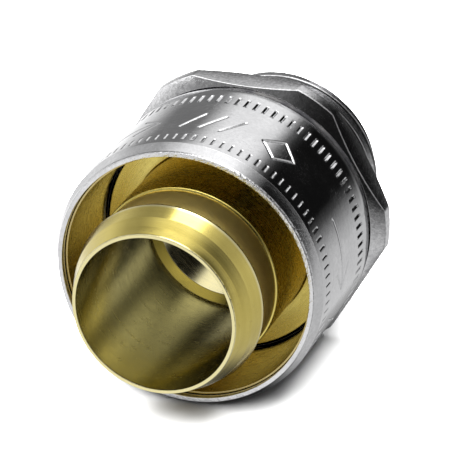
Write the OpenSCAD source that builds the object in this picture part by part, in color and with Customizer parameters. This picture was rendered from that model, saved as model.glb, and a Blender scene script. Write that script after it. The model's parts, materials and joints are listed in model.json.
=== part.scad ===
// Conduit gland with a metric entry thread, for flexible metal conduit.
// All sizes are in millimetres. The gland's axis is Y: the entry thread points to +Y,
// the mouth that takes the conduit points to -Y, and one flat of the hexagon faces down.
// The origin is on the axis, in the hexagon's seating face at the root of the thread.

/* [Entry thread] */
// Outside diameter of the entry thread
thread_d = 20; // [18:0.5:21]
// Length of the entry thread
thread_l = 10; // [6:0.5:15]
// Diameter of the cable way through the body
way_d = 14; // [12:0.5:15]

/* [Hexagon] */
// Width across the flats
hex_af = 27; // [27:0.5:30]
// Diameter that the six corners are turned down to
hex_corner_d = 29.1; // [28.5:0.1:32]
// Thickness of the hexagon
hex_t = 3.2; // [2.5:0.1:6]

/* [Sleeve nut] */
// Outside diameter of the sleeve nut
nut_d = 27; // [26.8:0.1:27]
// Length of the sleeve nut
nut_l = 14.7; // [14:0.1:17]
// Gap that is left between the sleeve nut and the hexagon
nut_gap = 1.1; // [0.8:0.1:1.5]
// Inside diameter of the lip around the mouth
mouth_d = 25; // [24.8:0.1:25.2]

/* [Clamp sleeve] */
// Inside diameter of the clamp sleeve at the mouth
clamp_front_d = 24.5; // [24:0.1:24.6]
// Inside diameter of the clamp sleeve at its rear end
clamp_rear_d = 23.9; // [23.8:0.1:24.2]
// Width of the slot that splits the clamp sleeve
clamp_slot = 3; // [1:0.5:5]

/* [Ferrule] */
// Inside diameter of the ferrule's nose
ferrule_bore_d = 15.6; // [15:0.1:16]
// Outside diameter of the ferrule's tip
tip_d = 16.1; // [16.1:0.1:16.6]
// Largest diameter of the bead
bead_d = 18.8; // [18.6:0.1:19.4]
// Diameter of the neck behind the bead
neck_d = 17.6; // [17.4:0.1:18]
// Diameter of the barrel that the conduit seats on
barrel_d = 18.4; // [18.2:0.1:18.8]
// Diameter of the flange that the conduit butts against
flange_d = 23.4; // [22:0.1:23.5]
// How far the tip stands out of the sleeve nut
ferrule_out = 8.1; // [6.5:0.1:12]

/* [Hidden] */
$fn = 96;

// Radial play between the parts that turn or slide in one another
running_play = 0.05;
// Radial play of the clamp sleeve in the sleeve nut
clamp_play = 0.1;

// Body: a spigot with the sleeve nut's thread, a seat for the gasket, a socket for the tail
spigot_l = 5.4;
spigot_r = 12.7;
spigot_neck_r = 12;
spigot_neck_l = 1.6;
seat_r = 11.95;
seat_depth = 2.2;
socket_r = 9.1;
socket_floor_y = -2.4;
thread_chamfer = 0.7;
way_chamfer = 0.5;
hex_face_r = 13.3;
hex_chamfer = 0.9;

// Sleeve nut: lip, inner cone, clear bore, thread and the pocket for the O-ring
nut_r = nut_d / 2;
mouth_r = mouth_d / 2;
lip_l = 0.6;
lip_cone_l = 1.5;
lip_edge_r = nut_r - 0.55;
bevel_l = 1.3;
nut_bore_r = 12.95;
nut_thread_r = spigot_r + running_play;
nut_thread_l = 3.3;
pocket_r = 13.1;
pocket_l = 1.1;
rear_edge = 0.2;

// Clamp sleeve
clamp_r = nut_bore_r - clamp_play;
clamp_setback = 0.8;

// Ferrule
bore_r = ferrule_bore_d / 2;
tip_r = tip_d / 2;
bead_r = bead_d / 2;
neck_r = neck_d / 2;
barrel_r = barrel_d / 2;
flange_r = flange_d / 2;
flange_t = 1.15;
flange_edge = 0.15;
flange_ahead = 0.4;
tail_r = 9;
tail_end_y = -2.6;
tail_edge = 0.4;
tail_way_l = 1.5;
tip_chamfer_l = 0.6;
nose_turn = 22;
bead_back = 4;
bead_land = 0.15;
shoulder_back = 0.2;
flange_fillet = 0.2;
groove_r = 8.15;
groove_w = 1.2;
groove_y = -4.6;

// Rubber rings
gasket_t = 1.4;
gasket_in_r = 9.3;
gasket_out_r = 11.8;
ferrule_ring_r = 0.45;
nut_ring_r = 0.5;
entry_ring_r = 0.6;

// Groove in the hexagon's seating face that holds the entry O-ring
entry_groove_in_r = thread_d / 2 + 0.4;
entry_groove_w = 1.4;
entry_groove_depth = 1.25;

// Places along the axis
hex_front_y = -hex_t;
nut_rear_y = hex_front_y - nut_gap;
mouth_y = nut_rear_y - nut_l;
spigot_front_y = hex_front_y - spigot_l;
seat_y = spigot_front_y + seat_depth;
clamp_front_y = mouth_y + clamp_setback;
clamp_rear_y = spigot_front_y - nut_gap;
flange_y = spigot_front_y - flange_ahead;
tip_y = mouth_y - ferrule_out;
bead_y = mouth_y - bead_back;
way_r = way_d / 2;

// A turned piece: its half section is a list of [radius, y] points
module turned(section) {
    rotate([-90, 0, 0])
        rotate_extrude()
            polygon(section);
}

// A round ring of wire radius wire_r, whose centre line has radius ring_r
module o_ring(ring_r, wire_r, y) {
    translate([0, y, 0])
        rotate([-90, 0, 0])
            rotate_extrude()
                translate([ring_r, 0])
                    circle(r = wire_r, $fn = 48);
}

// Hexagonal prism whose corners and front and rear edges are turned down
module hexagon() {
    corner_r = hex_corner_d / 2;
    intersection() {
        translate([0, hex_front_y, 0])
            rotate([-90, 0, 0])
                linear_extrude(hex_t)
                    circle(r = hex_af / 2 / cos(30), $fn = 6);
        turned([[0, hex_front_y], [hex_face_r, hex_front_y],
                [corner_r, hex_front_y + hex_chamfer], [corner_r, -hex_chamfer],
                [hex_face_r, 0], [0, 0]]);
    }
}

// Body: entry thread, hexagon and the spigot that carries the sleeve nut
module gland_body() {
    thread_r = thread_d / 2;
    edge = 0.3;
    overlap = 1;
    neck_y = hex_front_y - spigot_neck_l;
    color("silver")
        difference() {
            union() {
                hexagon();
                turned([[0, -overlap], [thread_r, -overlap],
                        [thread_r, thread_l - thread_chamfer],
                        [thread_r - thread_chamfer, thread_l], [0, thread_l]]);
                turned([[0, spigot_front_y], [spigot_r - edge, spigot_front_y],
                        [spigot_r, spigot_front_y + edge], [spigot_r, neck_y],
                        [spigot_neck_r, neck_y + edge], [spigot_neck_r, -overlap],
                        [0, -overlap]]);
            }
            turned([[0, spigot_front_y - overlap], [seat_r, spigot_front_y - overlap],
                    [seat_r, seat_y],
                    [socket_r, seat_y], [socket_r, socket_floor_y], [way_r, socket_floor_y],
                    [way_r, thread_l - way_chamfer],
                    [way_r + 2 * way_chamfer, thread_l + way_chamfer],
                    [0, thread_l + way_chamfer]]);
            turned([[entry_groove_in_r, -entry_groove_depth], [entry_groove_in_r, overlap],
                    [entry_groove_in_r + entry_groove_w, overlap],
                    [entry_groove_in_r + entry_groove_w, -entry_groove_depth]]);
        }
}

// Sleeve nut: a thin round sleeve that screws on the spigot
module sleeve_nut() {
    face = 0.1;
    thread_front_y = nut_rear_y - pocket_l - nut_thread_l;
    color("gainsboro")
        turned([[mouth_r, mouth_y + face], [mouth_r + face, mouth_y],
                [lip_edge_r - face, mouth_y], [lip_edge_r, mouth_y + face],
                [nut_r, mouth_y + bevel_l], [nut_r, nut_rear_y - rear_edge],
                [nut_r - rear_edge, nut_rear_y], [pocket_r, nut_rear_y],
                [pocket_r, nut_rear_y - pocket_l],
                [nut_thread_r, nut_rear_y - pocket_l],
                [nut_thread_r, thread_front_y + rear_edge],
                [nut_bore_r, thread_front_y],
                [nut_bore_r, mouth_y + lip_l + lip_cone_l],
                [mouth_r, mouth_y + lip_l]]);
}

// Clamp sleeve: a split, slightly tapered brass lining of the sleeve nut
module clamp_sleeve() {
    front_in_r = clamp_front_d / 2;
    rear_in_r = clamp_rear_d / 2;
    tip_wall = 0.1;
    cone_end_y = mouth_y + lip_l + lip_cone_l + clamp_play;
    slot_angle = 33;
    overlap = 1;
    color("darkgoldenrod")
        difference() {
            turned([[front_in_r, clamp_front_y], [front_in_r + tip_wall, clamp_front_y],
                    [clamp_r, cone_end_y], [clamp_r, clamp_rear_y - rear_edge],
                    [clamp_r - rear_edge, clamp_rear_y], [rear_in_r, clamp_rear_y]]);
            rotate([0, slot_angle, 0])
                translate([-clamp_slot / 2, clamp_front_y - overlap, 0])
                    cube([clamp_slot, clamp_rear_y - clamp_front_y + 2 * overlap,
                          clamp_r + overlap]);
        }
}

// Points of the ferrule's nose: an arc that leaves the tip steeply and flattens at the bead
function nose_points(steps) =
    let(rise = bead_r - tip_r, run = bead_y - tip_y,
        slope = atan2(rise, run), first = slope + nose_turn / 2,
        arc_r = norm([rise, run]) / (2 * sin(nose_turn / 2)))
    [for (i = [0 : steps])
        let(a = first - nose_turn * i / steps)
        [tip_r + arc_r * (cos(a) - cos(first)), tip_y + arc_r * (sin(first) - sin(a))]];

// Ferrule: nose with its bead, barrel, flange and the tail that plugs into the body
module ferrule() {
    flange_rear_y = flange_y + flange_t;
    shoulder_y = mouth_y + shoulder_back;
    groove_front_y = groove_y - groove_w / 2;
    groove_rear_y = groove_y + groove_w / 2;
    color("goldenrod")
        turned(concat(
            [[bore_r, tip_y + tip_chamfer_l]],
            nose_points(6),
            [[bead_r, bead_y + bead_land], [neck_r, bead_y + bead_land + bead_r - neck_r],
             [neck_r, shoulder_y], [barrel_r, shoulder_y + barrel_r - neck_r],
             [barrel_r, flange_y - flange_fillet], [barrel_r + flange_fillet, flange_y],
             [flange_r - flange_edge, flange_y], [flange_r, flange_y + flange_edge],
             [flange_r, flange_rear_y - flange_edge], [flange_r - flange_edge, flange_rear_y],
             [tail_r, flange_rear_y], [tail_r, groove_front_y], [groove_r, groove_front_y],
             [groove_r, groove_rear_y], [tail_r, groove_rear_y],
             [tail_r, tail_end_y - tail_edge], [tail_r - tail_edge, tail_end_y],
             [way_r + tail_edge, tail_end_y], [way_r, tail_end_y - tail_edge],
             [way_r, flange_y + tail_way_l], [bore_r, flange_y]]));
}

// Flat gasket between the ferrule's flange and the seat in the body
module ferrule_gasket() {
    color("dimgray")
        turned([[gasket_in_r, seat_y - gasket_t], [gasket_out_r, seat_y - gasket_t],
                [gasket_out_r, seat_y], [gasket_in_r, seat_y]]);
}

// O-ring in the groove of the ferrule's tail
module ferrule_o_ring() {
    color("dimgray") o_ring(groove_r + ferrule_ring_r + 0.02, ferrule_ring_r, groove_y);
}

// O-ring on the neck of the spigot, between the sleeve nut and the hexagon
module nut_o_ring() {
    color("dimgray") o_ring(spigot_neck_r + nut_ring_r, nut_ring_r, hex_front_y - nut_ring_r);
}

// O-ring on the floor of the groove in the seating face
module entry_o_ring() {
    color("dimgray")
        o_ring(entry_groove_in_r + entry_groove_w / 2, entry_ring_r,
               entry_ring_r - entry_groove_depth);
}

gland_body();
sleeve_nut();
clamp_sleeve();
ferrule();
ferrule_gasket();
ferrule_o_ring();
nut_o_ring();
entry_o_ring();
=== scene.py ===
import json
import math

import bmesh
import bpy
import numpy as np
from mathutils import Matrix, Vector


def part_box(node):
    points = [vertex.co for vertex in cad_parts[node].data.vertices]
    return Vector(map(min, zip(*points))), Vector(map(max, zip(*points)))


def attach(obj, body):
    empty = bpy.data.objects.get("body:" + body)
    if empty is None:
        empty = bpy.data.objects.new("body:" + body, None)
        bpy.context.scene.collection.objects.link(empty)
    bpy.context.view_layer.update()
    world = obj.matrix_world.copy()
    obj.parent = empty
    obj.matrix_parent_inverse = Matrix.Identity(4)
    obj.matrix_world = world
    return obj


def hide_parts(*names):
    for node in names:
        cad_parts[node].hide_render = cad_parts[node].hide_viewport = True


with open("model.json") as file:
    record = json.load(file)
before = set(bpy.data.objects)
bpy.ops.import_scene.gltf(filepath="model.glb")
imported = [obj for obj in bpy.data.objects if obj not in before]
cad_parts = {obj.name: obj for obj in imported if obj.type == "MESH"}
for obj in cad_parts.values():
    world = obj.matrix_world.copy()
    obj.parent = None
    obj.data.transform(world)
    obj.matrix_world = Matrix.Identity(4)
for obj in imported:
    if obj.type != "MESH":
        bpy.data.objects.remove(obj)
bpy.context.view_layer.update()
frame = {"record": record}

# Looks of a metal conduit gland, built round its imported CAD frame.
#
# The gland's axis is Y: the entry thread points to +Y and the mouth to -Y. Blender works in metres. The
# outlines below are in millimetres, as [radius, y], and skin() turns them into metres. Angles run from
# +Z towards +X, and s is the distance behind the sleeve nut's mouth.

MM = 0.001
MOUNTS = {mount["name"]: mount for mount in frame["record"]["mounts"]}


def box_mm(node):
    """Lowest and highest corner of a CAD node, in millimetres."""
    low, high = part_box(node)
    return low / MM, high / MM


# ---------------------------------------------------------------- sizes that come from the frame
BODY_LOW, BODY_HIGH = box_mm("gland_body")
NUT_LOW, NUT_HIGH = box_mm("sleeve_nut")
CLAMP_LOW, CLAMP_HIGH = box_mm("clamp_sleeve")
FERRULE_LOW, FERRULE_HIGH = box_mm("ferrule")

HEX_FLAT_R = MOUNTS["wrench_flat"]["pos_m"][2] / MM
HEX_CORNER_R = BODY_HIGH.x
THREAD_R = MOUNTS["entry_thread"]["dims"]["r_mm"]
THREAD_END = BODY_HIGH.y
WAY_R = MOUNTS["cable_way"]["dims"]["r_mm"]
BORE_R = MOUNTS["ferrule_bore"]["dims"]["r_mm"]
SPIGOT_FRONT = BODY_LOW.y
NUT_R = NUT_HIGH.z
MOUTH = NUT_LOW.y
NUT_REAR = NUT_HIGH.y
CLAMP_R = CLAMP_HIGH.z
TIP = FERRULE_LOW.y
TAIL_END = FERRULE_HIGH.y
FLANGE_R = FERRULE_HIGH.x
FLOOR_Z = BODY_LOW.z * MM

# ---------------------------------------------------------------- sizes of the hidden and fine detail
HEX_FRONT = -3.2
HEX_FACE_R = 13.3
HEX_CHAMFER = 0.9
THREAD_PITCH = 1.5
NUT_PITCH = 1.0
DEPTH_PER_PITCH = 0.6134
SPIGOT_R = 12.7
SPIGOT_NECK_R = 12.0
NUT_PLAY = 0.05
TICKS = 90
TICK_COLUMNS = 10

SOCKET_R = 9.1
SOCKET_FLOOR = -2.4
SEAT_R = 11.95
SEAT_Y = -6.4
GROOVE_INNER_R, GROOVE_OUTER_R, GROOVE_DEPTH = 10.4, 11.8, 1.25
THREAD_START = 1.2
NUT_BORE_R = 12.95
POCKET_R = 13.1
POCKET_Y = NUT_REAR - 1.1
NUT_THREAD_FRONT = NUT_REAR - 4.4
BEAD_Y = MOUTH - 4.0
NECK_END = MOUTH + 0.42
FLANGE_FRONT = SPIGOT_FRONT - 0.4
CONE_START = FLANGE_FRONT + 0.95


# ---------------------------------------------------------------- mesh tools
def rounded(corners, steps=4):
    """The closed outline through corners (radius, y, fillet), with an arc of its fillet at each corner.

    Where the corners are only a part of an outline, the first and the last have a fillet of 0.
    """
    outline = []
    for i, (r, y, fillet) in enumerate(corners):
        here = Vector((r, y))
        back = Vector(corners[i - 1][:2]) - here
        ahead = Vector(corners[(i + 1) % len(corners)][:2]) - here
        turn = math.pi - back.angle(ahead)
        if fillet == 0 or turn < 0.02:
            outline.append(here)
            continue
        reach = min(fillet * math.tan(turn / 2), 0.48 * back.length, 0.48 * ahead.length)
        radius = reach / math.tan(turn / 2)
        middle = (back.normalized() + ahead.normalized()).normalized()
        centre = here + middle * (radius / math.cos(turn / 2))
        first = here + back.normalized() * reach - centre
        last = here + ahead.normalized() * reach - centre
        outline += [centre + first.slerp(last, k / steps) * radius for k in range(steps + 1)]
    return [(point.x, point.y) for point in outline]


def ring_row(r, y, angles):
    """Points at radius r and place y, one for each angle. r and y are numbers or arrays."""
    return np.stack([r * np.sin(angles), y + 0 * angles, r * np.cos(angles)], axis=1)


def full_turn(columns):
    """Angles of a row that goes once round and ends where it began."""
    return np.linspace(0, 2 * math.pi, columns + 1)


def turned_rows(outline, angles):
    return [ring_row(r, y, angles) for r, y in outline]


def skin(name, rows, capped=False, sharp=32):
    """A closed mesh over rows of points in millimetres. The last row is joined to the first.

    Neighbouring rows hold the same number of steps, or one a multiple of the other's. A capped mesh
    has flat ends at the first and last column. Any other mesh closes on itself there.
    """
    starts = np.cumsum([0] + [len(row) for row in rows])
    faces = []
    for k, row in enumerate(rows):
        after = (k + 1) % len(rows)
        here_n, after_n = len(row) - 1, len(rows[after]) - 1
        cells = min(here_n, after_n)
        here_step, after_step = here_n // cells, after_n // cells
        for i in range(cells):
            near = [starts[k] + i * here_step + j for j in range(here_step + 1)]
            far = [starts[after] + i * after_step + j for j in range(after_step + 1)]
            faces.append(near + far[::-1])
    if capped:
        faces.append([starts[k] for k in range(len(rows))])
        faces.append([starts[k] + len(rows[k]) - 1 for k in range(len(rows))][::-1])
    mesh = bpy.data.meshes.new(name)
    mesh.from_pydata(np.concatenate(rows) * MM, [], faces)
    shape = bmesh.new()
    shape.from_mesh(mesh)
    bmesh.ops.remove_doubles(shape, verts=shape.verts, dist=1e-8)
    bmesh.ops.recalc_face_normals(shape, faces=shape.faces)
    shape.to_mesh(mesh)
    shape.free()
    mesh.shade_smooth()
    mesh.set_sharp_from_angle(angle=math.radians(sharp))
    piece = bpy.data.objects.new(name, mesh)
    bpy.context.scene.collection.objects.link(piece)
    keep_flats = piece.modifiers.new("weighted normals", "WEIGHTED_NORMAL")
    keep_flats.mode = "FACE_AREA"
    keep_flats.weight = 90
    keep_flats.keep_sharp = True
    return piece


def thread_rows(crest_r, pitch, start, end, angles, front_chamfer=0.0, end_chamfer=0.0, per_pitch=18):
    """Rows that follow a right-hand thread from start to end, with a chamfer at each end if wanted.

    Each row climbs one pitch in a turn. The part of it that lies past an end is held at that end, and
    skin() welds what falls together there.
    """
    depth = DEPTH_PER_PITCH * pitch
    rows = []
    for j in range(math.ceil((end - start + pitch) / pitch * per_pitch) + 1):
        y = np.clip(start - pitch + j * pitch / per_pitch + pitch * angles / (2 * math.pi), start, end)
        phase = (y / pitch - angles / (2 * math.pi)) % 1
        away = np.abs(phase - 0.5) * 2
        cut = np.clip((away - 0.14) / 0.64, 0, 1)
        r = crest_r - depth * (0.85 * cut + 0.15 * cut * cut * (3 - 2 * cut))
        r = np.minimum(r, crest_r - front_chamfer + np.minimum(y - start, front_chamfer))
        r = np.minimum(r, crest_r - end_chamfer + np.minimum(end - y, end_chamfer))
        rows.append(ring_row(r, y, angles))
    return rows


def finish_piece(piece, node, body, material):
    """The piece takes its node's place, rides on its body and wears its material."""
    piece.data.materials.append(material)
    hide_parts(node)
    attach(piece, body)
    return piece


# ---------------------------------------------------------------- materials
class Nodes:
    """Short calls to build the node tree of a new material or world."""

    def __init__(self, owner):
        owner.use_nodes = True
        self.owner = owner
        self.tree = owner.node_tree
        self.shader = self.tree.nodes.get("Principled BSDF") or self.tree.nodes["Background"]

    def add(self, kind, inputs=None, **settings):
        """A node of that kind, with its settings, and inputs given as numbers or as other sockets."""
        node = self.tree.nodes.new("ShaderNode" + kind)
        for key, value in settings.items():
            setattr(node, key, value)
        for key, value in (inputs or {}).items():
            if isinstance(value, bpy.types.NodeSocket):
                self.tree.links.new(value, node.inputs[key])
            else:
                node.inputs[key].default_value = value
        return node

    def math(self, operation, a, b=0.0):
        return self.add("Math", {0: a, 1: b}, operation=operation).outputs[0]

    def place(self):
        """The point on the piece, in its own coordinates, in metres."""
        return self.add("TexCoord").outputs["Object"]

    def noise(self, vector, scale, detail=3.0, roughness=0.55):
        inputs = {"Vector": vector, "Scale": scale, "Detail": detail, "Roughness": roughness}
        return self.add("TexNoise", inputs).outputs["Fac"]

    def span(self, value, low, high, out_low, out_high):
        """value, as it goes from low to high, mapped from out_low to out_high."""
        inputs = {"Value": value, "From Min": low, "From Max": high, "To Min": out_low, "To Max": out_high}
        return self.add("MapRange", inputs).outputs["Result"]

    def ramp(self, value, stops):
        """The grey level that stops (position, level) give for value."""
        node = self.add("ValToRGB", {"Fac": value})
        elements = node.color_ramp.elements
        while len(elements) < len(stops):
            elements.new(1.0)
        for element, (position, level) in zip(elements, stops):
            element.position = position
            element.color = (level, level, level, 1)
        return node.outputs["Color"]

    def mix(self, share, a, b):
        """The colour that is a at share 0 and b at share 1."""
        node = self.add("Mix", data_type="RGBA")
        for socket, value in zip((node.inputs["Factor"], node.inputs[6], node.inputs[7]), (share, a, b)):
            if isinstance(value, bpy.types.NodeSocket):
                self.tree.links.new(value, socket)
            else:
                socket.default_value = value
        return node.outputs[2]

    def radius_and_y(self):
        """Distance from the Y axis, and place along it, in metres."""
        x, y, z = self.add("SeparateXYZ", {0: self.place()}).outputs
        square = self.math("ADD", self.math("MULTIPLY", x, x), self.math("MULTIPLY", z, z))
        return self.math("SQRT", square), y

    def within(self, value, least, most):
        """1 where value, in metres, lies between least and most, in millimetres. 0 elsewhere."""
        soft = 0.03 * MM
        rise = self.span(value, least * MM - soft, least * MM + soft, 0, 1)
        return self.math("MULTIPLY", rise, self.span(value, most * MM - soft, most * MM + soft, 1, 0))

    def placed(self, colour, specks, radius, y, places):
        """colour with a tint in each of places, a little uneven where there are specks."""
        for least_r, most_r, least_y, most_y, tint, share in places:
            across, along = self.within(radius, least_r, most_r), self.within(y, least_y, most_y)
            inside = self.math("MULTIPLY", across, along)
            uneven = self.math("MULTIPLY", inside, self.span(specks, 0.3, 0.6, share * 0.94, share))
            colour = self.mix(uneven, colour, tint)
        return colour

    def turning(self, finest):
        """A noise of rings round the Y axis, as a lathe tool leaves them, finest metres wide."""
        x, y, z = self.add("SeparateXYZ", {0: self.place()}).outputs
        radius = self.radius_and_y()[0]
        along = self.math("DIVIDE", self.math("ADD", radius, y), finest)
        side = self.math("MULTIPLY", self.math("DIVIDE", x, radius), 0.8)
        top = self.math("MULTIPLY", self.math("DIVIDE", z, radius), 0.8)
        rings = self.add("CombineXYZ", {0: along, 1: side, 2: top}).outputs[0]
        return self.noise(rings, 1.0, 2.0)

    def scratches(self, scale):
        """Hair scratches: thin contour lines of noises that are stretched along two directions."""
        lines = []
        for turn, stretch in (((0.3, 0.5, 0.2), (1.0, 0.07, 1.0)), ((0.9, -0.6, 1.1), (0.08, 1.0, 1.0))):
            inputs = {"Vector": self.place(), "Rotation": turn, "Scale": stretch}
            level = self.noise(self.add("Mapping", inputs).outputs[0], scale, 1.0)
            away = self.math("ABSOLUTE", self.math("SUBTRACT", level, 0.5))
            lines.append(self.span(away, 0.0, 0.006, 1, 0))
        return self.math("MAXIMUM", *lines)

    def bump(self, *layers):
        """The normal after layers of (height socket, depth in metres)."""
        normal = None
        for height, depth in layers:
            inputs = {"Height": height, "Distance": depth, "Strength": 1.0}
            if normal is not None:
                inputs["Normal"] = normal
            normal = self.add("Bump", inputs).outputs["Normal"]
        return normal

    def finish(self, colour, roughness, normal, **constants):
        for key, value in {"Base Color": colour, "Roughness": roughness, "Normal": normal}.items():
            self.tree.links.new(value, self.shader.inputs[key])
        for key, value in constants.items():
            self.shader.inputs[key.replace("_", " ")].default_value = value
        return self.owner


def new_material(name):
    return Nodes(bpy.data.materials.new(name))


def nickel(name, light, dark, roughness, grain, wave, places=(), dents=0.0):
    """Bright nickel plating: waves and turning marks under the plating, pits, and an uneven tone.

    roughness is (least, most). grain, wave and dents are depths in metres. Dents lie along the mouth's
    rim. places are places of painted shade, given as in brass().
    """
    m = new_material(name)
    place = m.place()
    cloud = m.noise(place, 240.0, 4.0)
    waves = m.noise(place, 520.0, 2.0, 0.5)
    pits = m.noise(place, 2600.0, 3.0, 0.7)
    fine = m.noise(place, 9000.0, 2.0)
    rings = m.turning(0.00011)
    radius, y = m.radius_and_y()
    colour = m.mix(m.span(m.math("MULTIPLY", cloud, pits), 0.12, 0.38, 0, 1), dark, light)
    colour = m.placed(colour, pits, radius, y, places)
    rough = m.span(m.math("ADD", cloud, m.math("MULTIPLY", pits, 0.6)), 0.5, 1.1, *roughness)
    rim = m.span(y, (MOUTH + 0.10) * MM, (MOUTH + 0.25) * MM, 1, 0)
    scratches = m.math("MULTIPLY", m.scratches(1900.0), m.span(cloud, 0.45, 0.6, 0, 1))
    layers = [(waves, wave), (rings, 0.8e-6), (pits, grain), (fine, grain * 0.4), (scratches, -1.4e-6)]
    if dents:
        layers.append((m.math("MULTIPLY", m.noise(place, 2600.0, 3.0, 0.6), rim), dents))
    return m.finish(colour, rough, m.bump(*layers), Metallic=1.0)


def brass(name, light, dark, stain, roughness, ring_depth, places=(), satin=(), dents=0.0):
    """Bare turned brass: concentric tool marks, olive and golden patches, small dull specks.

    places are places of painted shade and painted light: (least radius, most radius, least y, most y,
    colour, share), in mm.
    satin places are given alike, without the colour, and their share is the roughness that they add.
    dents lie along the ferrule's tip, and are a depth in metres.
    """
    m = new_material(name)
    place = m.place()
    cloud = m.noise(place, 160.0, 4.0)
    specks = m.noise(place, 1500.0, 3.0, 0.7)
    rings = m.turning(0.00016)
    broad_rings = m.turning(0.0009)
    tone = m.math("ADD", m.math("MULTIPLY", cloud, 0.6), m.math("MULTIPLY", broad_rings, 0.4))
    colour = m.mix(m.span(tone, 0.35, 0.65, 0, 1), dark, light)
    colour = m.mix(m.span(specks, 0.62, 0.74, 0, 0.3), colour, stain)
    radius, y = m.radius_and_y()
    colour = m.placed(colour, specks, radius, y, places)
    rough = m.span(m.math("ADD", specks, rings), 0.7, 1.3, *roughness)
    for least_r, most_r, least_y, most_y, share in satin:
        inside = m.math("MULTIPLY", m.within(radius, least_r, most_r), m.within(y, least_y, most_y))
        rough = m.math("ADD", rough, m.math("MULTIPLY", inside, share))
    layers = [(rings, ring_depth), (broad_rings, ring_depth * 3), (specks, 0.35e-6)]
    if dents:
        tip = m.span(y, (TIP + 0.08) * MM, (TIP + 0.2) * MM, 1, 0)
        layers.append((m.math("MULTIPLY", m.noise(place, 2200.0, 3.0, 0.6), tip), dents))
    return m.finish(colour, rough, m.bump(*layers), Metallic=1.0)


def rubber():
    """Matt black nitrile rubber with a fine moulded grain and a little bloom."""
    m = new_material("black_rubber_moulded")
    place = m.place()
    grain = m.noise(place, 5200.0, 3.0, 0.6)
    bloom = m.noise(place, 420.0, 4.0)
    colour = m.mix(m.span(bloom, 0.4, 0.7, 0, 1), (0.012, 0.012, 0.013, 1), (0.035, 0.034, 0.033, 1))
    rough = m.span(grain, 0.3, 0.7, 0.5, 0.72)
    return m.finish(colour, rough, m.bump((grain, 6e-6)), Specular_IOR_Level=0.4)


# ---------------------------------------------------------------- pieces
def hexagon_rows(columns):
    """The hexagon's outer side, from its front face to its seating face."""
    angles = full_turn(columns)
    from_flat = (angles + math.pi / 6) % (math.pi / 3) - math.pi / 6
    flat = HEX_FLAT_R / np.cos(from_flat)
    blend_r = 0.02
    edge = (flat + HEX_CORNER_R - np.sqrt((flat - HEX_CORNER_R) ** 2 + blend_r**2)) / 2
    slope = HEX_CHAMFER / (HEX_CORNER_R - HEX_FACE_R)
    sections = []
    for radius in edge:
        drop = (radius - HEX_FACE_R) * slope
        corners = [(SPIGOT_NECK_R, HEX_FRONT, 0), (HEX_FACE_R, HEX_FRONT, 0.08),
                   (radius, HEX_FRONT + drop, 0.2), (radius, -drop, 0.2), (HEX_FACE_R, 0, 0.06),
                   (SPIGOT_NECK_R, 0, 0)]
        sections.append(rounded(corners)[1:-1])
    sections = np.array(sections)
    return [ring_row(sections[:, k, 0], sections[:, k, 1], angles) for k in range(sections.shape[1])]


def gland_body():
    """Body: threaded spigot, hexagon, entry thread and the way through them, as one skin."""
    columns = 240
    angles = full_turn(columns)
    neck_front = HEX_FRONT - 1.6
    relief_r = THREAD_R - DEPTH_PER_PITCH * THREAD_PITCH - 0.03
    outline = rounded([
        (WAY_R, THREAD_END - 0.5, 0), (WAY_R, SOCKET_FLOOR, 0.1), (SOCKET_R, SOCKET_FLOOR, 0.15),
        (SOCKET_R, SEAT_Y, 0.15), (SEAT_R, SEAT_Y, 0.1), (SEAT_R, SPIGOT_FRONT, 0.03),
        (SEAT_R + 0.15, SPIGOT_FRONT, 0)])[:-1]
    inside = turned_rows(outline, angles)
    spigot = thread_rows(SPIGOT_R, NUT_PITCH, SPIGOT_FRONT + 0.02, neck_front, angles,
                         front_chamfer=0.65)
    neck = turned_rows([
        (SPIGOT_NECK_R, neck_front), (SPIGOT_NECK_R, HEX_FRONT - 0.12),
        (SPIGOT_NECK_R + 0.035, HEX_FRONT - 0.035), (SPIGOT_NECK_R + 0.12, HEX_FRONT)], angles)
    groove = turned_rows(rounded([
        (GROOVE_OUTER_R + 0.6, 0, 0), (GROOVE_OUTER_R, 0, 0.05), (GROOVE_OUTER_R, -GROOVE_DEPTH, 0.1),
        (GROOVE_INNER_R, -GROOVE_DEPTH, 0.1), (GROOVE_INNER_R, 0, 0.05), (THREAD_R - 0.1, 0, 0.05),
        (relief_r, 0.1, 0.15), (relief_r, 0.8, 0.2), (THREAD_R, THREAD_START, 0)])[1:-1], angles)
    thread = thread_rows(THREAD_R, THREAD_PITCH, THREAD_START, THREAD_END - 0.02, angles,
                         end_chamfer=0.7)
    end = turned_rows(rounded([(THREAD_R - 1.2, THREAD_END, 0), (WAY_R + 0.5, THREAD_END, 0.1),
                               (WAY_R, THREAD_END - 0.5, 0)])[:-1], angles)
    rows = inside + spigot + neck + hexagon_rows(3 * columns) + groove + thread + end
    return skin("gland_body_threaded", rows)


# Engraved signs between the two rings of ticks: a turning arrow, three strokes and a diamond. Each
# stroke is a line between two points (distance round the nut, s). The group repeats three times.
ARROW = [((-12.4, 6.8), (-5.2, 6.8)), ((-7.4, 5.2), (-5.2, 6.8)), ((-7.4, 8.4), (-5.2, 6.8))]
STROKES = [((u - 0.8, 5.2), (u + 0.8, 8.4)) for u in (-1.6, 0.4, 2.4)]
DIAMOND = [((7.4, 5.0), (9.2, 6.8)), ((9.2, 6.8), (7.4, 8.6)), ((7.4, 8.6), (5.6, 6.8)),
           ((5.6, 6.8), (7.4, 5.0))]
SIGN_GROUPS = 3


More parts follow.
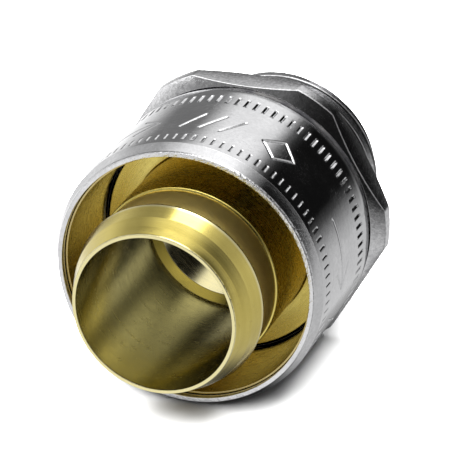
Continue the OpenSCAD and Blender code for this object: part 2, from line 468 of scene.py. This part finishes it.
def sign_depth(angles, s):
    """How deep the engraved signs are at s behind the mouth, for each angle."""
    depth, half_width = 0.085, 0.155
    turn = 2 * math.pi / SIGN_GROUPS
    u = ((angles + turn / 2) % turn - turn / 2) * NUT_R
    nearest = np.full_like(angles, 9.0)
    for (u0, s0), (u1, s1) in ARROW + STROKES + DIAMOND:
        du, ds = u1 - u0, s1 - s0
        share = np.clip(((u - u0) * du + (s - s0) * ds) / (du * du + ds * ds), 0, 1)
        nearest = np.minimum(nearest, np.hypot(u - u0 - share * du, s - s0 - share * ds))
    return depth * np.clip(1 - nearest / half_width, 0, 1)


def tick_depth(angles, s, first, last, depth, half_width):
    """How deep a ring of ticks from first to last is at s, for each angle. Each tick is a V groove."""
    pitch = 2 * math.pi / TICKS
    across = np.abs((angles + pitch / 2) % pitch - pitch / 2) * NUT_R
    end_slope = 0.12
    ends = min(1, max(0, min(s - first, last - s) / end_slope))
    return depth * ends * np.clip(1 - across / half_width, 0, 1)


def sleeve_nut():
    """Sleeve nut: bevelled mouth, two rings of engraved ticks, signs between them, and the inner thread."""
    fine = full_turn(TICKS * TICK_COLUMNS)
    coarse = fine[::4]
    front = {"first": 2.0, "last": 3.4, "depth": 0.07, "half_width": 0.115}
    rear = {"first": 11.4, "last": 13.0, "depth": 0.11, "half_width": 0.19}
    lip_r, lip_end = 12.5, MOUTH + 0.6
    # Rows are closest where the ticks end and along the signs
    places = [1.98, 2.0, 2.06, 2.12, 2.5, 2.9, 3.28, 3.34, 3.4, 3.6, 4.2]
    places += [4.7 + 0.105 * k for k in range(41)]
    places += [9.6, 10.6, 11.2, 11.4, 11.46, 11.52, 12.0, 12.5, 12.88, 12.94, 13.0, 13.2, 13.9]
    side = []
    for s in places:
        depth = sign_depth(fine, s) + tick_depth(fine, s, **front) + tick_depth(fine, s, **rear)
        side.append(ring_row(NUT_R - depth, MOUTH + s, fine))
    mouth_edge = turned_rows(rounded([
        (lip_r, lip_end, 0), (lip_r, MOUTH, 0.06), (12.92, MOUTH, 0.04), (12.97, MOUTH + 0.1, 0.04),
        (NUT_R, MOUTH + 1.3, 0.06), (NUT_R, MOUTH + 2.4, 0)])[1:-1], fine[::2])
    rear_edge = turned_rows(rounded([
        (NUT_R, MOUTH + 13.9, 0), (NUT_R, NUT_REAR, 0.32), (POCKET_R, NUT_REAR, 0.06),
        (POCKET_R, POCKET_Y, 0)])[1:-1], coarse)
    minor_r = SPIGOT_R + NUT_PLAY
    thread = thread_rows(minor_r, NUT_PITCH, NUT_THREAD_FRONT, POCKET_Y, coarse)
    bore = turned_rows(rounded([
        (NUT_BORE_R, NUT_THREAD_FRONT, 0), (NUT_BORE_R, MOUTH + 2.1, 0.2), (lip_r, lip_end, 0.1),
        (lip_r, MOUTH, 0)])[:-1], coarse)
    pocket = turned_rows([(POCKET_R, POCKET_Y), (minor_r, POCKET_Y)], coarse)
    rows = mouth_edge + side + rear_edge + pocket + thread[::-1] + bore
    return skin("sleeve_nut_engraved", rows, sharp=24)


def clamp_sleeve():
    """Clamp sleeve: a split brass lining with a tapered bore and softened edges."""
    slot_middle, slot_width = math.radians(33), 3.0
    slot_half = math.asin(slot_width / 2 / CLAMP_R)
    angles = np.linspace(slot_middle + slot_half, slot_middle + 2 * math.pi - slot_half, 361)
    front, rear = CLAMP_LOW.y, CLAMP_HIGH.y
    outline = rounded([(12.25, front, 0.06), (12.46, front, 0.05), (CLAMP_R, MOUTH + 2.2, 0.3),
                       (CLAMP_R, rear - 0.2, 0.08), (CLAMP_R - 0.2, rear, 0.08), (11.95, rear, 0.03),
                       (11.98, rear - 0.9, 0.3)])
    return skin("clamp_sleeve_split", turned_rows(outline, angles), capped=True)


def ferrule():
    """Ferrule: rolled nose and bead, neck, barrel, flange, and the tail with its O-ring groove."""
    tip_r, bead_r, neck_r, barrel_r, tail_r = 8.05, 9.4, 8.8, 9.2, 9.0
    groove_r, groove_front, groove_rear = 8.15, -5.2, -4.0
    flange_rear = FLANGE_FRONT + 1.15
    corners = [
        (BORE_R, TIP, 0.03), (tip_r + 0.07, TIP, 0.06), (8.5, TIP + 1.12, 1.0), (8.95, TIP + 2.3, 0.4),
        (bead_r, BEAD_Y, 0.08), (bead_r, BEAD_Y + 0.18, 0.1), (neck_r, BEAD_Y + 0.7, 0.3),
        (neck_r + 0.03, BEAD_Y + 2.2, 0.4), (neck_r + 0.19, MOUTH + 0.45, 0.04),
        (barrel_r - 0.06, MOUTH + 0.5, 0.03), (barrel_r, MOUTH + 0.58, 0.04),
        (barrel_r, FLANGE_FRONT, 0.15), (FLANGE_R, FLANGE_FRONT, 0.12), (FLANGE_R, flange_rear, 0.12),
        (tail_r, flange_rear, 0.12), (tail_r, groove_front, 0.1), (groove_r, groove_front, 0.15),
        (groove_r, groove_rear, 0.15), (tail_r, groove_rear, 0.1), (tail_r, TAIL_END - 0.4, 0.15),
        (tail_r - 0.4, TAIL_END, 0.1), (WAY_R + 0.4, TAIL_END, 0.1), (WAY_R, TAIL_END - 0.4, 0.15),
        (WAY_R, FLANGE_FRONT + 1.5, 0.1), (BORE_R, CONE_START, 0.06)]
    return skin("ferrule_turned", turned_rows(rounded(corners, steps=6), full_turn(288)))


def rubber_ring(name, ring_r, wire_r, y):
    """O-ring of wire radius wire_r, with the thin line that its mould leaves inside and outside."""
    points, flash = 40, 0.02
    outline = []
    for k in range(points):
        around = 2 * math.pi * k / points
        proud = flash if k % (points // 2) == 0 else 0.0
        r = ring_r + (wire_r - flash + proud) * math.cos(around)
        outline.append((r, y + wire_r * math.sin(around)))
    return skin(name, turned_rows(outline, full_turn(180)))


def gasket():
    """Flat gasket with a shallow bead pressed into each face."""
    inner, outer, front, rear = 9.3, 11.8, SEAT_Y - 1.4, SEAT_Y
    bead_inner, bead_middle, bead_outer, dip = 10.2, 10.55, 10.9, 0.12
    outline = rounded([
        (inner, front, 0.2), (bead_inner, front, 0.2), (bead_middle, front + dip, 0.3),
        (bead_outer, front, 0.2), (outer, front, 0.2), (outer, rear, 0.2), (bead_outer, rear, 0.2),
        (bead_middle, rear - dip, 0.3), (bead_inner, rear, 0.2), (inner, rear, 0.2)])
    return skin("ferrule_gasket_pressed", turned_rows(outline, full_turn(180)))


# ---------------------------------------------------------------- studio
# Brightness of the room as (degrees, level), by angle round the Y axis from +Z towards +X, for seven
# bands of directions, from behind the camera to straight behind the entry thread. FACE is dark above,
# black to the right and pale below. GLINT is very bright above, and it is narrow, so that little but
# edges mirrors it. LOW, beside the gland, is bright above and black to the right. SIDE and LAMP,
# further back, are more even, and LAMP has a strong narrow lamp overhead. BACK has a softbox above, a
# dark card to the right and a grey wall to the left. AXIS is dark all round.
FACE_LIGHT = [(-180, 0.90), (-110, 0.90), (-95, 0.55), (-78, 0.50), (-60, 0.40), (-46, 0.26), (-31, 0.26),
              (-15, 0.17), (3, 0.14), (20, 0.04), (36, 0.012), (100, 0.012), (114, 0.25), (128, 0.70),
              (180, 0.90)]
GLINT_LIGHT = [(-180, 0.60), (-118, 0.65), (-92, 0.80), (-66, 1.20), (-50, 2.40), (-36, 3.00), (11, 3.00),
               (30, 1.20), (45, 0.50), (84, 0.40), (100, 0.10), (120, 0.34), (160, 0.34), (180, 0.60)]
LOW_LIGHT = [(-180, 0.60), (-118, 0.65), (-92, 0.80), (-66, 0.52), (-50, 0.55), (-36, 0.95), (-20, 1.15),
             (11, 1.30), (18, 0.90), (26, 0.36), (36, 0.01), (84, 0.01), (96, 0.16), (120, 0.34),
             (160, 0.34), (180, 0.60)]
SIDE_LIGHT = [(-180, 0.46), (-130, 0.60), (-112, 0.85), (-70, 0.78), (-52, 0.48), (-38, 0.38), (-28, 0.60),
              (-20, 0.90), (-8, 1.20), (10, 1.20), (18, 1.00), (28, 0.66), (42, 0.42), (58, 0.46),
              (75, 0.58), (120, 0.58), (180, 0.46)]
LAMP_LIGHT = [(-180, 0.46), (-130, 0.60), (-112, 0.85), (-70, 0.78), (-52, 0.44), (-38, 0.34), (-22, 0.42),
              (-15, 0.90), (-11, 4.00), (13, 4.00), (20, 1.30), (28, 0.70), (42, 0.45), (58, 0.48),
              (75, 0.60), (120, 0.60), (180, 0.46)]
BACK_LIGHT = [(-180, 0.50), (-128, 1.15), (-114, 1.10), (-106, 0.85), (-96, 0.64), (-86, 0.37), (-76, 0.20),
              (-46, 0.19), (-39, 0.40), (-32, 0.70), (-24, 0.92), (2, 1.02), (14, 0.88), (20, 0.46),
              (25, 0.14), (31, 0.03), (37, 0.006), (85, 0.006), (94, 0.06), (104, 0.26), (114, 0.44),
              (126, 0.58), (172, 0.66), (180, 0.50)]
AXIS_LIGHT = [(-180, 0.06), (180, 0.06)]
LEVEL_LIMIT = 4.0

# The bands behind FACE, and the span of the direction's y in which each takes over from the one before
BANDS = [(GLINT_LIGHT, -0.44, -0.30), (LOW_LIGHT, -0.22, -0.06), (SIDE_LIGHT, 0.22, 0.36),
         (LAMP_LIGHT, 0.39, 0.44), (BACK_LIGHT, 0.62, 0.74), (AXIS_LIGHT, 0.88, 0.96)]


def sky():
    """The room's light, which the metal mirrors."""
    n = Nodes(bpy.data.worlds.new("studio"))
    bpy.context.scene.world = n.owner
    x, y, z = n.add("SeparateXYZ", {0: n.add("TexCoord").outputs["Generated"]}).outputs
    turn = n.span(n.math("ARCTAN2", x, z), -math.pi, math.pi, 0, 1)

    def band(light):
        return n.ramp(turn, [((degrees + 180) / 360, level / LEVEL_LIMIT) for degrees, level in light])

    colour = band(FACE_LIGHT)
    for light, first, last in BANDS:
        share = n.add("MapRange", {"Value": y, "From Min": first, "From Max": last},
                      interpolation_type="SMOOTHSTEP").outputs["Result"]
        colour = n.mix(share, colour, band(light))
    n.tree.links.new(colour, n.shader.inputs["Color"])
    n.shader.inputs["Strength"].default_value = LEVEL_LIMIT


def unseen_by(thing, *rays):
    for kind in rays:
        setattr(thing, "visible_" + kind, False)


def floor():
    """A wide sheet under the gland, with a faint paper tone. The softbox lights it to a pale white.

    The metal doesn't mirror it: it mirrors the lower part of the room instead.
    """
    m = new_material("floor_paper")
    tone = m.span(m.noise(m.place(), 3.0), 0.3, 0.7, 0.43, 0.45)
    colour = m.add("CombineColor", {0: tone, 1: tone, 2: tone}).outputs[0]
    grain = m.noise(m.place(), 900.0)
    m.finish(colour, m.span(grain, 0, 1, 0.9, 1.0), m.bump((grain, 1e-5)), Specular_IOR_Level=0.0)
    bpy.ops.mesh.primitive_plane_add(size=12, location=(0, 0, FLOOR_Z))
    sheet = bpy.context.object
    sheet.name = "floor"
    sheet.data.materials.append(m.owner)
    unseen_by(sheet, "glossy")


def floor_shade():
    """The gland's shade on the floor, as the metal mirrors it: a soft dark patch only glossy rays see."""
    m = new_material("floor_shade")
    x, y, z = m.add("SeparateXYZ", {0: m.place()}).outputs
    half_width, half_length, centre_y = 0.006, 0.0125, -0.0035
    from_centre = m.math("ABSOLUTE", m.math("SUBTRACT", y, centre_y))
    side = m.math("MAXIMUM", m.math("SUBTRACT", m.math("ABSOLUTE", x), half_width), 0.0)
    along = m.math("MAXIMUM", m.math("SUBTRACT", from_centre, half_length), 0.0)
    away = m.math("SQRT", m.math("ADD", m.math("MULTIPLY", side, side), m.math("MULTIPLY", along, along)))
    share = m.add("MapRange", {"Value": away, "From Min": 0.0005, "From Max": 0.009},
                  interpolation_type="SMOOTHSTEP").outputs["Result"]
    shade = m.add("Emission", {"Color": (0.02, 0.02, 0.02, 1)}).outputs[0]
    clear = m.add("BsdfTransparent").outputs[0]
    surface = m.add("MixShader", {0: share, 1: shade, 2: clear}).outputs[0]
    m.tree.links.new(surface, m.tree.nodes["Material Output"].inputs["Surface"])
    m.tree.nodes.remove(m.shader)
    bpy.ops.mesh.primitive_plane_add(size=0.08, location=(0, 0, FLOOR_Z - 0.0001))
    patch = bpy.context.object
    patch.name = "floor_shade"
    patch.data.materials.append(m.owner)
    unseen_by(patch, "camera", "diffuse", "transmission", "volume_scatter", "shadow")


def backdrop():
    """A white dome that only the camera sees, so that every view has the same plain background."""
    bpy.ops.mesh.primitive_uv_sphere_add(radius=5, segments=48, ring_count=24)
    dome = bpy.context.object
    dome.name = "backdrop"
    m = new_material("backdrop_white")
    m.shader.inputs["Base Color"].default_value = (0, 0, 0, 1)
    m.shader.inputs["Emission Color"].default_value = (1, 1, 1, 1)
    m.shader.inputs["Emission Strength"].default_value = 1.0
    dome.data.materials.append(m.owner)
    unseen_by(dome, "diffuse", "glossy", "transmission", "volume_scatter", "shadow")


def softbox(name, centre, size, watts, aim=(0, -0.009, 0)):
    """A square area light that faces aim and lights the floor. The camera and the metal don't see it."""
    lamp = bpy.data.lights.new(name, "AREA")
    lamp.size = size
    lamp.energy = watts
    holder = bpy.data.objects.new(name, lamp)
    holder.location = centre
    holder.rotation_euler = (Vector(aim) - Vector(centre)).to_track_quat("-Z", "Y").to_euler()
    unseen_by(holder, "camera", "glossy")
    bpy.context.scene.collection.objects.link(holder)


def camera():
    """A long lens, up and to the right of the mouth."""
    azimuth, elevation, distance = math.radians(20.39), math.radians(25.31), 0.3872
    back = Vector((math.sin(azimuth) * math.cos(elevation), -math.cos(azimuth) * math.cos(elevation),
                   math.sin(elevation)))
    right = Vector((math.cos(azimuth), math.sin(azimuth), 0))
    target = Vector((0, -0.0085, 0)) + right * 0.0002 + back.cross(right) * 0.0009
    lens = bpy.data.cameras.new("camera")
    lens.lens, lens.sensor_width = 320, 36
    lens.clip_start, lens.clip_end = 0.02, 30
    holder = bpy.data.objects.new("camera", lens)
    holder.location = target + back * distance
    holder.rotation_euler = (-back).to_track_quat("-Z", "Y").to_euler()
    bpy.context.scene.collection.objects.link(holder)
    bpy.context.scene.camera = holder


# ---------------------------------------------------------------- build
camera()
sky()
floor()
backdrop()
floor_shade()
softbox("overhead_softbox", centre=(-0.03, -0.34, 0.83), size=1.1, watts=165)

NICKEL_LIGHT, NICKEL_DARK, BODY_DARK = (0.86, 0.86, 0.87, 1), (0.70, 0.70, 0.71, 1), (0.52, 0.52, 0.53, 1)
# Painted shade: a near-black that darkens the nut's inner thread and the spigot, deep in the gap
RECESS_PAINTED_SHADE = (0.06, 0.055, 0.05, 1)
# Painted highlight: a pale cream that lightens the ferrule's tip rim and the bead's edge
EDGE_PAINTED_HIGHLIGHT = (0.95, 0.87, 0.50, 1)
# Painted shade: a dark olive that darkens the ferrule's bore
BORE_PAINTED_SHADE = (0.44, 0.385, 0.13, 1)
# Painted light: a pale gold that lightens the inner cone and the way through the ferrule
WAY_PAINTED_LIGHT = (1.0, 0.90, 0.50, 1)
# Painted light: a bright amber that lightens the ferrule's neck
NECK_PAINTED_LIGHT = (1.0, 0.80, 0.28, 1)

# Places of painted shade and painted light: least and most radius, least and most y, colour and share
# Painted shade on the nut's inner thread, behind the clamp sleeve
NUT_THREAD_PAINTED_SHADE = (0, POCKET_R + 0.02, -10, -4, RECESS_PAINTED_SHADE, 0.95)
# Painted shade on the spigot's thread inside the nut
SPIGOT_PAINTED_SHADE = (SEAT_R - 0.05, SPIGOT_R + 0.2, -9, HEX_FRONT - 0.1, RECESS_PAINTED_SHADE, 0.95)
# Painted shade and painted light on the ferrule
FERRULE_PAINTED_SHADE_AND_LIGHT = [
    # Painted shade in the ferrule's bore, from the tip back to the inner cone
    (0, BORE_R + 0.05, TIP + 0.15, CONE_START - 0.02, BORE_PAINTED_SHADE, 0.95),
    # Painted light on the inner cone and the way behind it
    (0, BORE_R + 0.05, CONE_START - 0.02, 0, WAY_PAINTED_LIGHT, 1.0),
    # Painted highlight on the rim at the ferrule's tip
    (BORE_R - 0.1, 8.35, TIP - 0.9, TIP + 0.14, EDGE_PAINTED_HIGHLIGHT, 0.85),
    # Painted highlight along the bead's edge
    (9.34, 9.6, BEAD_Y - 1, BEAD_Y + 1, EDGE_PAINTED_HIGHLIGHT, 0.85),
    # Painted light on the neck between the bead and the barrel
    (8.7, 9.06, BEAD_Y + 0.5, NECK_END, NECK_PAINTED_LIGHT, 1.0)]

# Satin places: least and most radius, least and most y, and the roughness that they add
FERRULE_SATIN = [
    (0, BORE_R + 0.05, TIP + 0.2, CONE_START - 0.02, 0.08),
    (9.15, 12, -20, 0, 0.12),
    (8.7, 9.06, BEAD_Y + 0.5, NECK_END, 0.30)]

nickel_nut = nickel("nickel_sleeve_polished", NICKEL_LIGHT, NICKEL_DARK, (0.05, 0.12), 3.0e-6, 7e-6,
                    [NUT_THREAD_PAINTED_SHADE], dents=85e-6)
nickel_body = nickel("nickel_body_drawn", NICKEL_LIGHT, BODY_DARK, (0.08, 0.17), 12e-6, 12e-6,
                     [SPIGOT_PAINTED_SHADE])
brass_clamp = brass("brass_clamp_turned", (0.66, 0.55, 0.27, 1), (0.57, 0.465, 0.21, 1),
                    (0.42, 0.34, 0.14, 1), (0.20, 0.30), 0.7e-6)
brass_ferrule = brass("brass_ferrule_turned", (0.83, 0.69, 0.205, 1), (0.69, 0.56, 0.145, 1),
                      (0.40, 0.31, 0.10, 1), (0.10, 0.20), 0.9e-6, FERRULE_PAINTED_SHADE_AND_LIGHT, FERRULE_SATIN,
                      dents=50e-6)
black_rubber = rubber()

finish_piece(gland_body(), "gland_body", "body", nickel_body)
finish_piece(sleeve_nut(), "sleeve_nut", "nut", nickel_nut)
finish_piece(clamp_sleeve(), "clamp_sleeve", "clamp", brass_clamp)
finish_piece(ferrule(), "ferrule", "ferrule", brass_ferrule)
finish_piece(gasket(), "ferrule_gasket", "body", black_rubber)

# O-rings: node, body, ring radius, wire radius and y
for node, body, ring_r, wire_r, y in (("ferrule_o_ring", "ferrule", 8.62, 0.45, -4.6),
                                      ("nut_o_ring", "body", 12.5, 0.5, HEX_FRONT - 0.5),
                                      ("entry_o_ring", "body", 11.1, 0.6, -0.65)):
    ring = rubber_ring(node + "_moulded", ring_r, wire_r, y)
    finish_piece(ring, node, body, black_rubber)

bpy.context.scene.view_settings.view_transform = "Standard"
